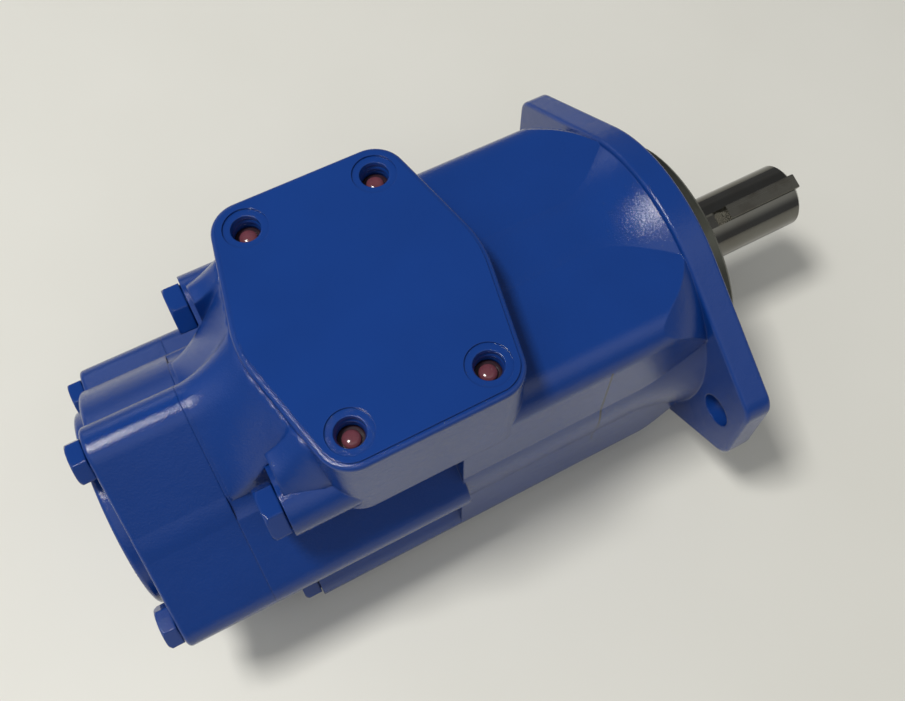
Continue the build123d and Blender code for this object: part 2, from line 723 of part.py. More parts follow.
outer_ring, inner_ring, ball_set, ball_cage = make_bearing()
pieces = {
    "outlet_body": make_outlet_body(),
    "inlet_body": make_inlet_body(),
    "end_cover": make_end_cover(),
    "body_bolts": make_body_bolts(),
    "cover_bolts": make_cover_bolts(),
    "inlet_transit_sheet": make_inlet_sheet(),
    "inlet_thread_plugs": make_thread_plugs(),
    "body_joint_seal": seal_ring(joint_x, joint_seal_radius),
    "cover_joint_seal": seal_ring(seam_x, cover_seal_radius),
    "shaft_seal": make_shaft_seal(),
    "bearing_outer_ring": outer_ring,
    "bearing_inner_ring": inner_ring,
    "bearing_balls": ball_set,
    "bearing_cage": ball_cage,
    "bearing_retaining_ring": split_ring(bearing_front_x, bearing_outer_radius + ring_groove_depth - ring_rim_gap,
                                         bearing_outer_radius - ring_land, ring_thickness - EPS, ring_gap_angle),
    "shaft_retaining_ring": split_ring(bearing_front_x, bearing_seat_radius + shaft_ring_stand,
                                       bearing_seat_radius - shaft_ring_depth + EPS,
                                       shaft_ring_thickness - EPS, shaft_ring_gap_angle),
    "drive_shaft": make_shaft(),
    "shaft_key": make_key(),
    "cover_bush": make_bush(),
}
for name, stage, outlet_end, inlet_end in (("front", front, 0, 4), ("rear", rear, 4, 0)):
    pieces[f"{name}_outlet_plate"] = stage.plate(outlet_end, outlet_port_angle)
    pieces[f"{name}_inlet_plate"] = stage.plate(inlet_end, inlet_port_angle)
    pieces[f"{name}_side_plates"] = stage.side_plates()
    pieces[f"{name}_cam_ring"] = stage.ring()
    pieces[f"{name}_rotor"] = stage.rotor()
    pieces[f"{name}_vanes"] = stage.vane_set()
    pieces[f"{name}_vane_inserts"] = stage.insert_set()
    pieces[f"{name}_cartridge_screws"] = stage.screws()
    pieces[f"{name}_dowels"] = stage.dowels()

for name, shape in pieces.items():
    export_step(shape, f"parts/{name}.step")
    print(name, round(shape.volume), "mm3")
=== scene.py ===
"""Dresses a double vane pump: enamel over the castings, bare machined steel, plugs, threads and a studio.

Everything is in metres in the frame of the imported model: +X out of the driven end of the shaft, +Z the normal
of the inlet pad, and the origin where the shaft axis meets the face of the mounting flange.
"""

import json
import logging
import math
from dataclasses import dataclass
from enum import Enum

import bmesh
import bpy
from mathutils import Matrix, Vector
from mathutils.bvhtree import BVHTree
from mathutils.geometry import intersect_point_line


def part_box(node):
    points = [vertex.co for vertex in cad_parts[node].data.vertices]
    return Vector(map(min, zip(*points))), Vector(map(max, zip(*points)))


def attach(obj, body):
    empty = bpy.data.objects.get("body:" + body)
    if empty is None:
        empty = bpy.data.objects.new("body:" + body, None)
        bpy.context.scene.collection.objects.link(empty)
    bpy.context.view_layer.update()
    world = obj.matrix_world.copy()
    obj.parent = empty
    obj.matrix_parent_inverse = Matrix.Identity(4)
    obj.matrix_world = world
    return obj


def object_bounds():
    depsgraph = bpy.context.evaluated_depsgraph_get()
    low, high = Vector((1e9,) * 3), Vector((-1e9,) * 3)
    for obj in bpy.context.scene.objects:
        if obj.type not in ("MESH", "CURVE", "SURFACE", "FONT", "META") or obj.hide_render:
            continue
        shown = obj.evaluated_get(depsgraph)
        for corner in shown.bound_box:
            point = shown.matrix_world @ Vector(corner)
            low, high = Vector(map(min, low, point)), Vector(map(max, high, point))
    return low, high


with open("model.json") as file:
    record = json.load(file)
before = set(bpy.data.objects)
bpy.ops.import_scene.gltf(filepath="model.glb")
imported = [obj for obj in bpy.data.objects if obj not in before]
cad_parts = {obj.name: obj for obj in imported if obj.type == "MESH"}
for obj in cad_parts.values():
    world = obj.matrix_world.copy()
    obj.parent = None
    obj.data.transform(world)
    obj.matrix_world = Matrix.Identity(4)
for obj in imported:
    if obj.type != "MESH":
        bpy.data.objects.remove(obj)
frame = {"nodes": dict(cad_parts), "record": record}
CAD_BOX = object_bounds()
MM = 0.001
LOG = logging.getLogger("vane_pump")


# ---------------------------------------------------------------- node and mesh helpers
def linear(hex_colour: str) -> tuple[float, float, float, float]:
    """Turns an sRGB hex colour to a linear one.

    Args:
        hex_colour: six hex digits after a hash sign.

    Returns:
        Linear red, green, blue and an alpha of one.
    """
    channels = [int(hex_colour[i:i + 2], 16) / 255 for i in (1, 3, 5)]
    red, green, blue = (c / 12.92 if c <= 0.04045 else ((c + 0.055) / 1.055) ** 2.4 for c in channels)
    return red, green, blue, 1.0


def add_node(tree: bpy.types.NodeTree, kind: str, settings: dict | None = None,
             links: dict | None = None) -> bpy.types.Node:
    """Adds a node with its settings and links.

    Args:
        tree: the node tree that gets the node.
        kind: the node's type, such as ShaderNodeBump.
        settings: values by property name, or by input name or number.
        links: output sockets by the input name or number that they feed.

    Returns:
        The new node.
    """
    node = tree.nodes.new(kind)
    for name, value in (settings or {}).items():
        if isinstance(name, int) or name in node.inputs:
            node.inputs[name].default_value = value
        else:
            setattr(node, name, value)
    for name, source in (links or {}).items():
        tree.links.new(source, node.inputs[name])
    return node


def new_material(name: str) -> tuple[bpy.types.Material, bpy.types.NodeTree]:
    """Makes an empty node material.

    Args:
        name: the material's name.

    Returns:
        The material and its node tree.
    """
    material = bpy.data.materials.new(name)
    material.use_nodes = True
    material.node_tree.nodes.clear()
    return material, material.node_tree


def dress(node_name: str, material: bpy.types.Material) -> None:
    """Gives every face of a CAD node one material."""
    mesh = frame["nodes"][node_name].data
    mesh.materials.clear()
    mesh.materials.append(material)
    LOG.info("piece %s: dressed in %s", node_name, material.name)


def housed(name: str, mesh: bpy.types.Mesh, material: bpy.types.Material,
           body: str = "housing") -> bpy.types.Object:
    """Puts a mesh in the scene as a piece that rides on a body.

    Args:
        name: the piece's name.
        mesh: its mesh, already in place.
        material: its finish.
        body: the CAD body that carries it.

    Returns:
        The new object.
    """
    piece = bpy.data.objects.new(name, mesh)
    bpy.context.scene.collection.objects.link(piece)
    mesh.materials.append(material)
    for polygon in mesh.polygons:
        polygon.use_smooth = True
    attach(piece, body)
    LOG.info("piece %s: %d faces on %s", name, len(mesh.polygons), body)
    return piece


# ---------------------------------------------------------------- finishes
@dataclass(frozen=True)
class BareZone:
    """Round region of a casting that was masked or machined after painting."""

    origin: tuple[float, float, float]
    axis: tuple[float, float, float]
    radius_mm: float
    from_mm: float
    to_mm: float

    def mask(self, tree: bpy.types.NodeTree, point: bpy.types.NodeSocket) -> bpy.types.NodeSocket:
        """Draws the region as a mask.

        Args:
            tree: the material's node tree.
            point: the socket that gives the place on the part.

        Returns:
            A socket that is one inside the region and zero outside it.
        """
        offset = add_node(tree, "ShaderNodeVectorMath", {"operation": "SUBTRACT", 1: self.origin}, {0: point})
        along = add_node(tree, "ShaderNodeVectorMath", {"operation": "DOT_PRODUCT", 1: self.axis},
                         {0: offset.outputs[0]})
        foot = add_node(tree, "ShaderNodeVectorMath", {"operation": "SCALE", 0: self.axis},
                        {"Scale": along.outputs["Value"]})
        across = add_node(tree, "ShaderNodeVectorMath", {"operation": "DISTANCE"},
                          {0: offset.outputs[0], 1: foot.outputs[0]})
        mask = add_node(tree, "ShaderNodeMath", {"operation": "LESS_THAN", 1: self.radius_mm * MM},
                        {0: across.outputs["Value"]})
        for operation, limit in (("GREATER_THAN", self.from_mm), ("LESS_THAN", self.to_mm)):
            side = add_node(tree, "ShaderNodeMath", {"operation": operation, 1: limit * MM},
                            {0: along.outputs["Value"]})
            mask = add_node(tree, "ShaderNodeMath", {"operation": "MULTIPLY"},
                            {0: mask.outputs[0], 1: side.outputs[0]})
        return mask.outputs[0]


@dataclass(frozen=True)
class BodyJoint:
    """Joint of the two bodies, bridged by paint on top and open as a hairline crack on the near wall."""

    x_mm: float = -70.0
    sharp_mm: float = 0.6
    clear_mm: float = 3.5
    crack_mm: float = 0.55
    wall_y_mm: float = -62.0
    low_mm: float = -24.0
    high_mm: float = 56.0

    def away(self, tree: bpy.types.NodeTree, place: bpy.types.Node) -> bpy.types.NodeSocket:
        """Measures the distance from the joint's plane in metres."""
        offset = add_node(tree, "ShaderNodeMath", {"operation": "SUBTRACT", 1: self.x_mm * MM},
                          {0: place.outputs["X"]})
        return add_node(tree, "ShaderNodeMath", {"operation": "ABSOLUTE"}, {0: offset.outputs[0]}).outputs[0]

    def edge_radius(self, tree: bpy.types.NodeTree, away: bpy.types.NodeSocket,
                    edge_mm: float) -> bpy.types.NodeSocket:
        """Lets the rounding of the edges die out at the joint.

        Args:
            tree: the material's node tree.
            away: the distance from the joint's plane.
            edge_mm: the radius away from the joint.

        Returns:
            A socket with the radius in metres.
        """
        return add_node(tree, "ShaderNodeMapRange",
                        {"From Min": self.sharp_mm * MM, "From Max": self.clear_mm * MM, "To Min": 0.0,
                         "To Max": edge_mm * MM}, {"Value": away}).outputs[0]

    def crack(self, tree: bpy.types.NodeTree, place: bpy.types.Node,
              away: bpy.types.NodeSocket) -> bpy.types.NodeSocket:
        """Draws the crack on the near wall.

        Args:
            tree: the material's node tree.
            place: a node that gives the place on the part by its three coordinates.
            away: the distance from the joint's plane.

        Returns:
            A socket that is one in the crack and zero outside it.
        """
        mask = add_node(tree, "ShaderNodeMath", {"operation": "LESS_THAN", 1: self.crack_mm * MM}, {0: away})
        for operation, axis, limit in (("LESS_THAN", "Y", self.wall_y_mm), ("GREATER_THAN", "Z", self.low_mm),
                                       ("LESS_THAN", "Z", self.high_mm)):
            side = add_node(tree, "ShaderNodeMath", {"operation": operation, 1: limit * MM},
                            {0: place.outputs[axis]})
            mask = add_node(tree, "ShaderNodeMath", {"operation": "MULTIPLY"},
                            {0: mask.outputs[0], 1: side.outputs[0]})
        return mask.outputs[0]


@dataclass(frozen=True)
class RoughPatch:
    """Ball-shaped region where the raw sand skin shows through thinner paint."""

    centre_mm: tuple[float, float, float] = (-216.0, 22.0, 64.0)
    radius_mm: float = 26.0
    fade_mm: float = 14.0
    gain: float = 2.2

    def lift(self, tree: bpy.types.NodeTree, point: bpy.types.NodeSocket,
             height_mm: float) -> bpy.types.NodeSocket:
        """Raises the height of a bump inside the region.

        Args:
            tree: the material's node tree.
            point: the socket that gives the place on the part.
            height_mm: the bump's height outside the region.

        Returns:
            A socket with the height in metres.
        """
        centre = tuple(c * MM for c in self.centre_mm)
        away = add_node(tree, "ShaderNodeVectorMath", {"operation": "DISTANCE", 1: centre}, {0: point})
        return add_node(tree, "ShaderNodeMapRange",
                        {"interpolation_type": "SMOOTHSTEP", "From Min": (self.radius_mm - self.fade_mm) * MM,
                         "From Max": self.radius_mm * MM, "To Min": height_mm * self.gain * MM,
                         "To Max": height_mm * MM}, {"Value": away.outputs["Value"]}).outputs[0]


@dataclass(frozen=True)
class SprayedEnamel:
    """Glossy synthetic enamel sprayed thick over sand-cast iron.

    It gives the eye a deep blue with a wet top coat, fine orange peel that breaks each highlight into
    specks, and the slow waves of the casting skin under it.
    """

    name: str = "sprayed_blue_enamel"
    colour: str = "#123A84"
    shade: str = "#0F3376"
    roughness: float = 0.1
    ior: float = 1.45
    drift_per_m: float = 24.0
    peel_mm: float = 0.95
    peel_height_mm: float = 0.14
    skin_mm: float = 6.0
    skin_height_mm: float = 0.14
    edge_mm: float = 1.1
    crack_colour: str = "#0B1226"
    joint: BodyJoint | None = None
    rough: RoughPatch | None = None
    bare: tuple[BareZone, ...] = ()

    def build(self) -> bpy.types.Material:
        """Makes the enamel material, with turned iron showing in its bare zones."""
        material, tree = new_material(self.name)
        point = add_node(tree, "ShaderNodeTexCoord").outputs["Object"]
        place = add_node(tree, "ShaderNodeSeparateXYZ", {}, {0: point})
        rounded = add_node(tree, "ShaderNodeBevel", {"samples": 6, "Radius": self.edge_mm * MM})
        if self.joint:
            away = self.joint.away(tree, place)
            tree.links.new(self.joint.edge_radius(tree, away, self.edge_mm), rounded.inputs["Radius"])
        skin = add_node(tree, "ShaderNodeTexNoise",
                        {"Scale": 1 / (self.skin_mm * MM), "Detail": 3.0, "Roughness": 0.5},
                        {"Vector": point})
        skin_bump = add_node(tree, "ShaderNodeBump", {"Distance": self.skin_height_mm * MM},
                             {"Height": skin.outputs["Fac"], "Normal": rounded.outputs[0]})
        peel = add_node(tree, "ShaderNodeTexNoise",
                        {"Scale": 1 / (self.peel_mm * MM), "Detail": 4.0, "Roughness": 0.65},
                        {"Vector": point})
        peel_bump = add_node(tree, "ShaderNodeBump", {"Distance": self.peel_height_mm * MM},
                             {"Height": peel.outputs["Fac"], "Normal": skin_bump.outputs[0]})
        if self.rough:
            tree.links.new(self.rough.lift(tree, point, self.peel_height_mm), peel_bump.inputs["Distance"])
        drift = add_node(tree, "ShaderNodeTexNoise", {"Scale": self.drift_per_m, "Detail": 2.0},
                         {"Vector": point})
        colour = add_node(tree, "ShaderNodeMix",
                          {"data_type": "RGBA", 6: linear(self.shade), 7: linear(self.colour)},
                          {0: drift.outputs["Fac"]})
        if self.joint:
            colour = add_node(tree, "ShaderNodeMix", {"data_type": "RGBA", 7: linear(self.crack_colour)},
                              {0: self.joint.crack(tree, place, away), 6: colour.outputs[2]})
        paint = add_node(tree, "ShaderNodeBsdfPrincipled",
                         {"Roughness": self.roughness, "IOR": self.ior},
                         {"Base Color": colour.outputs[2], "Normal": peel_bump.outputs[0]})
        surface = paint.outputs[0]
        for zone in self.bare:
            iron = TURNED_IRON.shader(tree, point)
            surface = add_node(tree, "ShaderNodeMixShader", {},
                               {0: zone.mask(tree, point), 1: surface, 2: iron}).outputs[0]
        add_node(tree, "ShaderNodeOutputMaterial", {}, {"Surface": surface})
        return material


class Grain(Enum):
    """How the tool marks of a metal surface run."""

    ROUND_SHAFT = "round the shaft axis"
    ALONG_SHAFT = "along the shaft axis"
    EVEN = "no direction"


@dataclass(frozen=True)
class MachinedMetal:
    """Bare metal with the marks of the tool that made its surface."""

    name: str
    colour: str
    roughness: float
    grain: Grain = Grain.EVEN
    grain_mm: float = 0.6
    grain_height_mm: float = 0.004
    stain: str = "#4A463F"
    stain_share: float = 0.25
    metallic: float = 1.0
    anisotropic: float = 0.0

    def shader(self, tree: bpy.types.NodeTree, point: bpy.types.NodeSocket) -> bpy.types.NodeSocket:
        """Builds the metal's shader in a tree.

        Args:
            tree: the node tree to build in.
            point: the socket that gives the place on the part.

        Returns:
            The shader socket.
        """
        fine, coarse = 1 / (self.grain_mm * MM), 6.0
        stretch = {Grain.ROUND_SHAFT: (fine, coarse, coarse), Grain.ALONG_SHAFT: (coarse, fine, fine),
                   Grain.EVEN: (fine, fine, fine)}[self.grain]
        lines = add_node(tree, "ShaderNodeVectorMath", {"operation": "MULTIPLY", 1: stretch}, {0: point})
        marks = add_node(tree, "ShaderNodeTexNoise", {"Scale": 1.0, "Detail": 3.0, "Roughness": 0.6},
                         {"Vector": lines.outputs[0]})
        bump = add_node(tree, "ShaderNodeBump", {"Distance": self.grain_height_mm * MM},
                        {"Height": marks.outputs["Fac"]})
        haze = add_node(tree, "ShaderNodeTexNoise", {"Scale": 55.0, "Detail": 4.0, "Roughness": 0.6},
                        {"Vector": point})
        stain = add_node(tree, "ShaderNodeMapRange",
                         {"From Min": 0.45, "From Max": 0.8, "To Max": self.stain_share},
                         {"Value": haze.outputs["Fac"]})
        colour = add_node(tree, "ShaderNodeMix",
                          {"data_type": "RGBA", 6: linear(self.colour), 7: linear(self.stain)},
                          {0: stain.outputs[0]})
        dull = add_node(tree, "ShaderNodeMapRange",
                        {"To Min": self.roughness * 0.8, "To Max": self.roughness * 1.3},
                        {"Value": marks.outputs["Fac"]})
        metal = add_node(tree, "ShaderNodeBsdfPrincipled",
                         {"Metallic": self.metallic, "Anisotropic": self.anisotropic},
                         {"Base Color": colour.outputs[2], "Roughness": dull.outputs[0],
                          "Normal": bump.outputs[0]})
        return metal.outputs[0]

    def build(self) -> bpy.types.Material:
        """Makes the material."""
        material, tree = new_material(self.name)
        point = add_node(tree, "ShaderNodeTexCoord").outputs["Object"]
        add_node(tree, "ShaderNodeOutputMaterial", {}, {"Surface": self.shader(tree, point)})
        return material


# Turned cast iron: grey with a green-brown cast from oil, and fine rings about the shaft axis.
TURNED_IRON = MachinedMetal("turned_cast_iron", "#5E5F58", 0.42, Grain.ROUND_SHAFT, 0.5, 0.01, "#33342D", 0.6)


@dataclass(frozen=True)
class MouldedPolymer:
    """Moulded plastic or rubber: soft broad gloss, a faint grain and a little dust."""

    name: str
    colour: str
    shade: str
    roughness: float
    grain_mm: float = 0.4
    grain_height_mm: float = 0.01
    subsurface: float = 0.0
    ior: float = 1.51

    def build(self) -> bpy.types.Material:
        """Makes the material."""
        material, tree = new_material(self.name)
        point = add_node(tree, "ShaderNodeTexCoord").outputs["Object"]
        grain = add_node(tree, "ShaderNodeTexNoise", {"Scale": 1 / (self.grain_mm * MM), "Detail": 2.0},
                         {"Vector": point})
        bump = add_node(tree, "ShaderNodeBump", {"Distance": self.grain_height_mm * MM},
                        {"Height": grain.outputs["Fac"]})
        drift = add_node(tree, "ShaderNodeTexNoise", {"Scale": 160.0, "Detail": 3.0}, {"Vector": point})
        colour = add_node(tree, "ShaderNodeMix",
                          {"data_type": "RGBA", 6: linear(self.shade), 7: linear(self.colour)},
                          {0: drift.outputs["Fac"]})
        skin = add_node(tree, "ShaderNodeBsdfPrincipled",
                        {"Roughness": self.roughness, "IOR": self.ior, "Subsurface Weight": self.subsurface,
                         "Subsurface Radius": (0.002, 0.001, 0.0008)},
                        {"Base Color": colour.outputs[2], "Normal": bump.outputs[0]})
        add_node(tree, "ShaderNodeOutputMaterial", {}, {"Surface": skin.outputs[0]})
        return material


# ---------------------------------------------------------------- sub-assemblies
@dataclass
class Castings:
    """Outlet body, inlet body and end cover under their enamel."""

    pilot_radius_mm: float = 63.6
    pilot_start_mm: float = 0.05
    pilot_reach_mm: float = 20.0
    port_1_radius_mm: float = 16.1
    port_2_radius_mm: float = 12.8
    port_start_mm: float = 20.0
    port_2_reach_mm: float = 71.8
    lip_mm: float = 0.2
    half: float = math.sqrt(0.5)

    def build(self) -> None:
        """Paints the three castings and leaves the pilot and the port bores bare."""
        pilot = BareZone((0.0, 0.0, 0.0), (1.0, 0.0, 0.0), self.pilot_radius_mm, self.pilot_start_mm,
                         self.pilot_reach_mm)
        port_1_reach_mm = -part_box("outlet_body")[0].z / MM - self.lip_mm
        port_1 = BareZone((frame_mount("outlet_1")[0], 0.0, 0.0), (0.0, 0.0, -1.0), self.port_1_radius_mm,
                          self.port_start_mm, port_1_reach_mm)
        port_2 = BareZone((frame_mount("outlet_2")[0], 0.0, 0.0), (0.0, self.half, -self.half),
                          self.port_2_radius_mm, self.port_start_mm, self.port_2_reach_mm)
        dress("outlet_body", SprayedEnamel(name="enamel_on_outlet_body", joint=BodyJoint(),
                                           bare=(pilot, port_1)).build())
        dress("inlet_body", SprayedEnamel(name="enamel_on_inlet_body", joint=BodyJoint(),
                                          rough=RoughPatch()).build())
        dress("end_cover", SprayedEnamel(name="enamel_on_end_cover", bare=(port_2,)).build())


@dataclass
class InletPad:
    """Transit sheet over the inlet, thread plugs, and the screw thread that shows above them."""

    pitch_mm: float = 2.31
    crest_mm: float = 0.9
    hole_radius_mm: float = 6.75
    visible_depth_mm: float = 7.6
    turn_steps: int = 40
    knob_radius_mm: float = 4.1
    knob_height_mm: float = 2.6
    knob_rim_mm: float = 0.7
    knob_steps: int = 8
    knob_sides: int = 36

    def knob_mesh(self, foot: Vector) -> bpy.types.Mesh:
        """Turns the domed grip on top of a plug.

        Args:
            foot: the middle of the plug's upper face.

        Returns:
            A short rim with a round cap over it.
        """
        profile = [(self.knob_radius_mm, -0.2), (self.knob_radius_mm, self.knob_rim_mm)]
        for step in range(1, self.knob_steps + 1):
            turn = math.pi / 2 * step / self.knob_steps
            profile.append((self.knob_radius_mm * math.cos(turn),
                            self.knob_rim_mm + (self.knob_height_mm - self.knob_rim_mm) * math.sin(turn)))
        mesh = bmesh.new()
        rings = []
        for reach, height in profile[:-1]:
            rings.append([mesh.verts.new(foot + Vector((
                reach * MM * math.cos(2 * math.pi * k / self.knob_sides),
                reach * MM * math.sin(2 * math.pi * k / self.knob_sides), height * MM)))
                for k in range(self.knob_sides)])
        tip = mesh.verts.new(foot + Vector((0.0, 0.0, profile[-1][1] * MM)))
        for k in range(self.knob_sides):
            nxt = (k + 1) % self.knob_sides
            for low, high in zip(rings, rings[1:]):
                mesh.faces.new((low[k], low[nxt], high[nxt], high[k]))
            mesh.faces.new((rings[-1][k], rings[-1][nxt], tip))
        data = bpy.data.meshes.new("plug_knob")
        mesh.to_mesh(data)
        mesh.free()
        return data

    def thread_mesh(self, centre: Vector) -> bpy.types.Mesh:
        """Winds the ridge of a tapped hole.

        Args:
            centre: the middle of the hole's mouth.

        Returns:
            A helical strip with a triangular section, inside the hole.
        """
        mesh = bmesh.new()
        turns = self.visible_depth_mm / self.pitch_mm
        steps = int(turns * self.turn_steps)
        previous = None
        for i in range(steps + 1):
            angle = 2 * math.pi * i / self.turn_steps
            depth = self.pitch_mm * i / self.turn_steps + self.pitch_mm * 0.5
            fade = min(1.0, 6 * i / steps, 6 * (steps - i) / steps)
            row = []
            for inward, shift in ((-0.05, 0.48), (self.crest_mm * fade, 0.0), (-0.05, -0.48)):
                reach = (self.hole_radius_mm - inward) * MM
                row.append(mesh.verts.new(centre + Vector((
                    reach * math.cos(angle), reach * math.sin(angle),
                    -(depth + shift * self.pitch_mm) * MM))))
            if previous:
                for low, high in ((0, 1), (1, 2)):
                    mesh.faces.new((previous[low], previous[high], row[high], row[low]))
            previous = row
        data = bpy.data.meshes.new("thread")
        mesh.to_mesh(data)
        mesh.free()
        return data

    def build(self) -> None:
        """Dresses the sheet and plugs and adds the four threads."""
        # Enamel over rolled sheet: the same blue, flatter and calmer than on the castings.
        sheet = SprayedEnamel(name="enamel_on_transit_sheet", skin_mm=14.0, skin_height_mm=0.05,
                              peel_height_mm=0.03, edge_mm=0.4)
        dress("inlet_transit_sheet", sheet.build())
        # Polythene plug deep in a hole: the knob's brown-violet plastic, painted much darker as the shade
        # inside the hole, with the brighter glossy knob on top.
        dress("inlet_thread_plugs", MouldedPolymer("polythene_plug_painted_shade", "#35212C", "#22151D", 0.3,
                                                   subsurface=0.05).build())
        grip = MouldedPolymer("glossy_polythene_knob", "#7A4650", "#5A303A", 0.12, subsurface=0.1).build()
        thread = SprayedEnamel(name="enamel_in_tapped_holes", skin_height_mm=0.02, edge_mm=0.1).build()
        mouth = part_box("inlet_transit_sheet")[0].z
        low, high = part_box("inlet_thread_plugs")
        radius = self.hole_radius_mm * MM
        for i, x in enumerate((low.x + radius, high.x - radius)):
            for j, y in enumerate((low.y + radius, high.y - radius)):
                housed(f"inlet_thread_{i}{j}", self.thread_mesh(Vector((x, y, mouth))), thread)
                housed(f"plug_knob_{i}{j}", self.knob_mesh(Vector((x, y, high.z))), grip)


@dataclass
class CastWebs:
    """Sloping webs of the inlet casting that fair the pad into the barrel and into the two bolt ears."""

    step_mm: float = 1.5
    seam_x_mm: float = -242.4
    ear_face_x_mm: float = -222.3
    inner_x_mm: float = -190.0
    pocket_y_mm: float = 38.5
    ear_round_y_mm: float = 45.0
    ear_round_per_mm: float = 0.085
    outer_y_mm: float = 60.0
    pad_centre_x_mm: float = -157.3
    pad_corner_mm: tuple[float, float, float] = (30.95, 53.2, 15.5)
    pad_bulge_mm: float = 57.0
    root_z_mm: float = 88.0
    ear_z_mm: float = 77.0
    ease: float = 1.5
    skirt_mm: float = 16.0
    crease_degrees: float = 50.0
    tiny: float = 1e-6

    def pad_rim(self) -> list[Vector]:
        """Traces the outline of the inlet pad, which is the hull of five circles."""
        reach_x, reach_y, corner = self.pad_corner_mm
        circles = [(Vector((self.pad_centre_x_mm + sx * reach_x, sy * reach_y)), corner)
                   for sx in (1, -1) for sy in (1, -1)]
        circles.append((Vector((self.pad_centre_x_mm, 0.0)), self.pad_bulge_mm))
        rim = []
        for k in range(180):
            toward = Vector((math.cos(math.radians(2 * k)), math.sin(math.radians(2 * k))))
            centre, radius = max(circles, key=lambda c: c[0].dot(toward) + c[1])
            rim.append(centre + radius * toward)
        return rim

    def barrel_top(self, tree: BVHTree, y_mm: float) -> float:
        """Finds the height of the barrel's surface at the cover joint, in mm."""
        spot = tree.ray_cast(Vector((self.seam_x_mm * MM, y_mm * MM, 0.2)), Vector((0.0, 0.0, -1.0)))[0]
        return spot.z / MM if spot else 0.0

    def height(self, spot: Vector, rim: list[Vector], tree: BVHTree) -> float:
        """Works out the height of the web at one place.

        Args:
            spot: the place in plan, in mm.
            rim: the outline of the inlet pad.
            tree: the inlet body's faces.

        Returns:
            The height in mm.
        """
        away = math.inf
        for a, b in zip(rim, rim[1:] + rim[:1]):
            if (a - b).length > self.tiny:
                foot, share = intersect_point_line(spot, a, b)
                away = min(away, (foot - spot).length if 0 <= share <= 1 else (a - spot).length)
        side = abs(spot.y)
        if side <= self.pocket_y_mm:
            left, foot = spot.x - self.seam_x_mm, self.barrel_top(tree, spot.y) - 0.1
        else:
            left, foot = spot.x - self.ear_face_x_mm, self.ear_z_mm
        share = away / max(away + left, self.tiny)
        level = self.root_z_mm + (foot - self.root_z_mm) * (1 - (1 - share) ** self.ease)
        return level - self.ear_round_per_mm * max(side - self.ear_round_y_mm, 0.0) ** 2

    def web_mesh(self) -> bpy.types.Mesh:
        """Lays the webs as one sheet with walls down to the casting at its free edges."""
        body = frame["nodes"]["inlet_body"]
        tree = BVHTree.FromPolygons([body.matrix_world @ v.co for v in body.data.vertices],
                                    [tuple(f.vertices) for f in body.data.polygons])
        rim = self.pad_rim()
        columns = round((self.inner_x_mm - self.seam_x_mm) / self.step_mm)
        rows = round(2 * self.outer_y_mm / self.step_mm)
        mesh = bmesh.new()
        grid = {}
        for i in range(columns + 1):
            for j in range(rows + 1):
                spot = Vector((self.seam_x_mm + i * self.step_mm, -self.outer_y_mm + j * self.step_mm))
                if abs(spot.y) > self.pocket_y_mm and spot.x < self.ear_face_x_mm:
                    continue
                grid[i, j] = mesh.verts.new(Vector((spot.x, spot.y, self.height(spot, rim, tree))) * MM)
        for i, j in list(grid):
            ring = [grid.get(key) for key in ((i, j), (i + 1, j), (i + 1, j + 1), (i, j + 1))]
            if all(ring):
                mesh.faces.new(ring)
        free = [edge for edge in mesh.edges if edge.is_boundary]
        made = bmesh.ops.extrude_edge_only(mesh, edges=free)["geom"]
        for vertex in (item for item in made if isinstance(item, bmesh.types.BMVert)):
            vertex.co.z -= self.skirt_mm * MM
        bmesh.ops.recalc_face_normals(mesh, faces=mesh.faces)
        data = bpy.data.meshes.new("cast_web")
        mesh.to_mesh(data)
        mesh.free()
        return data

    def build(self) -> None:
        """Adds the webs to the inlet body."""
        paint = SprayedEnamel(name="enamel_on_cast_webs", edge_mm=2.4, rough=RoughPatch()).build()
        piece = housed("inlet_cast_webs", self.web_mesh(), paint)
        piece.data.set_sharp_from_angle(angle=math.radians(self.crease_degrees))


@dataclass
class Fasteners:
    """Body bolts and cover bolts, painted with the pump."""

    def build(self) -> None:
        """Paints the bolts."""
        # Enamel over forged heads: smooth flats and edges that the paint has filled.
        enamel = SprayedEnamel(name="enamel_on_bolts", skin_height_mm=0.03, peel_height_mm=0.03,
                               edge_mm=1.3).build()
        for node in ("body_bolts", "cover_bolts"):
            dress(node, enamel)


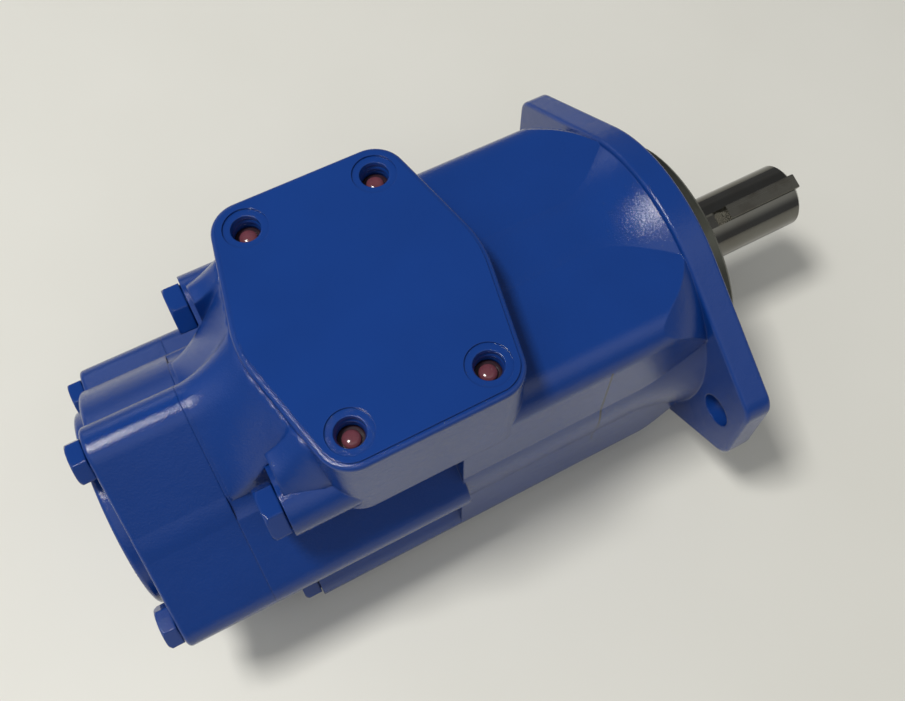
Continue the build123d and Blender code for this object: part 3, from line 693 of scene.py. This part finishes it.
@dataclass
class DriveEnd:
    """Shaft, key, bearing, seal and retaining rings."""

    def build(self) -> None:
        """Dresses the pieces at the driven end."""
        # Ground shaft: dark mirror bands along it, with fine rings round the axis; the drawn key is duller.
        dress("drive_shaft", MachinedMetal("ground_shaft_steel", "#73726D", 0.1, Grain.ROUND_SHAFT, 0.35,
                                           0.003, "#5B4F40", 0.3, anisotropic=0.3).build())
        dress("shaft_key", MachinedMetal("drawn_key_steel", "#74726B", 0.24, Grain.ALONG_SHAFT, 0.5, 0.006,
                                         "#3C3226", 0.75).build())
        # Bearing steel: bright ground races, mirror-like balls and a softer pressed cage.
        races = MachinedMetal("ground_bearing_steel", "#C4C5C6", 0.14, Grain.ROUND_SHAFT, 0.4, 0.002).build()
        for node in ("bearing_outer_ring", "bearing_inner_ring"):
            dress(node, races)
        dress("bearing_balls", MachinedMetal("lapped_balls", "#D4D5D6", 0.05, Grain.EVEN, 2.0, 0.0005,
                                             stain_share=0.05).build())
        dress("bearing_cage", MachinedMetal("pressed_cage_steel", "#9C968A", 0.35, Grain.EVEN, 0.8,
                                            0.01).build())
        # Phosphated spring steel: nearly black and matt.
        spring = MachinedMetal("phosphated_spring_steel", "#34322E", 0.55, Grain.EVEN, 0.3, 0.006,
                               "#1D1C1A", 0.6).build()
        for node in ("bearing_retaining_ring", "shaft_retaining_ring"):
            dress(node, spring)
        # Nitrile rubber: black with a broad faint sheen.
        rubber = MouldedPolymer("moulded_nitrile", "#191919", "#0E0E0E", 0.55).build()
        for node in ("shaft_seal", "body_joint_seal", "cover_joint_seal"):
            dress(node, rubber)


@dataclass
class PumpingCartridges:
    """The two pumping cartridges and the tail bush, out of sight in the bodies."""

    stages: tuple[str, ...] = ("front", "rear")

    def build(self) -> None:
        """Dresses the inner pieces."""
        # Inner pieces: warm turned bronze, grey machined iron, bright ground steel and black screws.
        bronze = MachinedMetal("turned_bronze", "#A87C42", 0.28, Grain.ROUND_SHAFT, 0.4, 0.005,
                               "#6A4A22").build()
        plate = MachinedMetal("machined_plate_iron", "#7E7F7B", 0.38, Grain.ROUND_SHAFT, 0.6, 0.008).build()
        hard = MachinedMetal("ground_hardened_steel", "#9A9BA0", 0.2, Grain.ALONG_SHAFT, 0.3, 0.003).build()
        vane = MachinedMetal("ground_tool_steel", "#AFB0B3", 0.18, Grain.ALONG_SHAFT, 0.3, 0.002).build()
        screw = MachinedMetal("black_oxide_steel", "#26262A", 0.45, Grain.EVEN, 0.4, 0.004, "#151517").build()
        finishes = {"outlet_plate": plate, "inlet_plate": plate, "side_plates": bronze, "cam_ring": hard,
                    "rotor": hard, "vanes": vane, "vane_inserts": vane, "cartridge_screws": screw,
                    "dowels": screw}
        for stage in self.stages:
            for part, finish in finishes.items():
                dress(f"{stage}_{part}", finish)
        dress("cover_bush", bronze)


def frame_mount(name: str) -> list[float]:
    """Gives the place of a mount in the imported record."""
    return next(m["pos_m"] for m in frame["record"]["mounts"] if m["name"] == name)


# ---------------------------------------------------------------- studio
@dataclass(frozen=True)
class Lamp:
    """One soft rectangular lamp, placed by its direction from the pump."""

    name: str
    toward: tuple[float, float, float]
    distance: float
    size: tuple[float, float]
    watts: float
    colour: str = "#FFFFFF"


@dataclass
class Studio:
    """Pale floor, soft lights and the camera."""

    azimuth: float = 28.51
    elevation: float = 61.98
    roll: float = 0.62
    distance: float = 0.5233
    aim: tuple[float, float, float] = (-0.1035, 0.0180, 0.0)
    lens: float = 39.96
    shift: tuple[float, float] = (-0.0027, -0.0411)
    floor_size: float = 6.0
    dark_toward: tuple[float, float, float] = (0.22, 0.44, 0.87)
    dark_inner: float = 28.0
    dark_outer: float = 50.0
    ceiling_colour: str = "#FAFAF6"
    wall_colour: str = "#7C7D80"
    dark_colour: str = "#6E6F72"
    room_strength: float = 0.85
    climb_low: float = 0.25
    climb_high: float = 0.8
    floor_shade: str = "#D6D5CE"
    floor_colour: str = "#DCDBD5"
    floor_gap: float = 0.0002
    lamps: tuple[Lamp, ...] = (
        Lamp("ceiling_panel", (-0.34, 0.08, 0.93), 2.0, (0.42, 0.36), 28.0, "#FFFDF8"),
        Lamp("far_window", (-0.15, 0.9, 0.42), 2.5, (0.9, 0.5), 2.4, "#EEF3FF"),
    )

    def camera(self) -> None:
        """Stands the camera at its place, turned about the aim point and rolled about its own axis."""
        azimuth, elevation = math.radians(self.azimuth), math.radians(self.elevation)
        forward = Vector((math.sin(azimuth) * math.cos(elevation), math.cos(azimuth) * math.cos(elevation),
                          -math.sin(elevation)))
        right = forward.cross(Vector((0, 0, 1))).normalized()
        turn = Matrix.Rotation(-math.radians(self.roll), 3, forward)
        right = turn @ right
        up = right.cross(forward)
        data = bpy.data.cameras.new("camera")
        data.lens, data.sensor_width = self.lens, 36.0
        data.shift_x, data.shift_y = self.shift
        data.clip_start = 0.01
        camera = bpy.data.objects.new("camera", data)
        basis = Matrix((right, up, -forward)).transposed().to_4x4()
        camera.matrix_world = Matrix.Translation(Vector(self.aim) - forward * self.distance) @ basis
        bpy.context.scene.collection.objects.link(camera)
        bpy.context.scene.camera = camera

    def floor(self) -> None:
        """Lays the floor at the lowest point of the pump."""
        level = CAD_BOX[0][2] - self.floor_gap
        half = self.floor_size / 2
        data = bpy.data.meshes.new("floor")
        corners = ((-half, -half), (half, -half), (half, half), (-half, half))
        data.from_pydata([(x, y, level) for x, y in corners], [], [(0, 1, 2, 3)])
        floor = bpy.data.objects.new("floor", data)
        bpy.context.scene.collection.objects.link(floor)
        material, tree = new_material("pale_sealed_floor")
        point = add_node(tree, "ShaderNodeTexCoord").outputs["Object"]
        cloud = add_node(tree, "ShaderNodeTexNoise", {"Scale": 9.0, "Detail": 3.0}, {"Vector": point})
        colour = add_node(tree, "ShaderNodeMix",
                          {"data_type": "RGBA", 6: linear(self.floor_shade), 7: linear(self.floor_colour)},
                          {0: cloud.outputs["Fac"]})
        skin = add_node(tree, "ShaderNodeBsdfPrincipled", {"Roughness": 0.55},
                        {"Base Color": colour.outputs[2]})
        add_node(tree, "ShaderNodeOutputMaterial", {}, {"Surface": skin.outputs[0]})
        data.materials.append(material)

    def hang(self, lamp: Lamp) -> None:
        """Hangs one soft rectangular lamp that faces the pump."""
        data = bpy.data.lights.new(lamp.name, "AREA")
        data.shape, data.size, data.size_y = "RECTANGLE", lamp.size[0], lamp.size[1]
        data.energy = lamp.watts
        data.color = linear(lamp.colour)[:3]
        light = bpy.data.objects.new(lamp.name, data)
        toward = Vector(lamp.toward).normalized()
        light.location = Vector(self.aim) + toward * lamp.distance
        light.rotation_euler = toward.to_track_quat("Z", "Y").to_euler()
        bpy.context.scene.collection.objects.link(light)

    def room(self) -> None:
        """Surrounds the pump with a pale room whose ceiling is dark where the level faces would mirror it."""
        world = bpy.data.worlds.new("soft_room")
        world.use_nodes = True
        tree = world.node_tree
        tree.nodes.clear()
        direction = add_node(tree, "ShaderNodeTexCoord").outputs["Generated"]
        toward = add_node(tree, "ShaderNodeVectorMath", {"operation": "DOT_PRODUCT", 1: self.dark_toward},
                          {0: direction})
        dark = add_node(tree, "ShaderNodeMapRange",
                        {"interpolation_type": "SMOOTHSTEP",
                         "From Min": math.cos(math.radians(self.dark_outer)),
                         "From Max": math.cos(math.radians(self.dark_inner))},
                        {"Value": toward.outputs["Value"]})
        height = add_node(tree, "ShaderNodeSeparateXYZ", {}, {0: direction})
        climb = add_node(tree, "ShaderNodeMapRange",
                         {"interpolation_type": "SMOOTHSTEP", "From Min": self.climb_low,
                          "From Max": self.climb_high},
                         {"Value": height.outputs[2]})
        shell = add_node(tree, "ShaderNodeMix",
                         {"data_type": "RGBA", 6: linear(self.wall_colour), 7: linear(self.ceiling_colour)},
                         {0: climb.outputs[0]})
        colour = add_node(tree, "ShaderNodeMix", {"data_type": "RGBA", 7: linear(self.dark_colour)},
                          {0: dark.outputs[0], 6: shell.outputs[2]})
        glow = add_node(tree, "ShaderNodeBackground", {"Strength": self.room_strength},
                        {"Color": colour.outputs[2]})
        add_node(tree, "ShaderNodeOutputWorld", {}, {"Surface": glow.outputs[0]})
        bpy.context.scene.world = world

    def build(self) -> None:
        """Builds the studio."""
        self.camera()
        self.floor()
        self.room()
        for lamp in self.lamps:
            self.hang(lamp)
        bpy.context.scene.view_settings.view_transform = "Standard"


def main() -> None:
    """Builds the pump's looks and the studio round it."""
    logging.basicConfig(level=logging.INFO, format="%(name)s: %(message)s")
    assemblies = (Castings(), InletPad(), CastWebs(), Fasteners(), DriveEnd(), PumpingCartridges(), Studio())
    for assembly in assemblies:
        assembly.build()
        LOG.info("built %s", type(assembly).__name__)


if __name__ == "__main__":
    main()
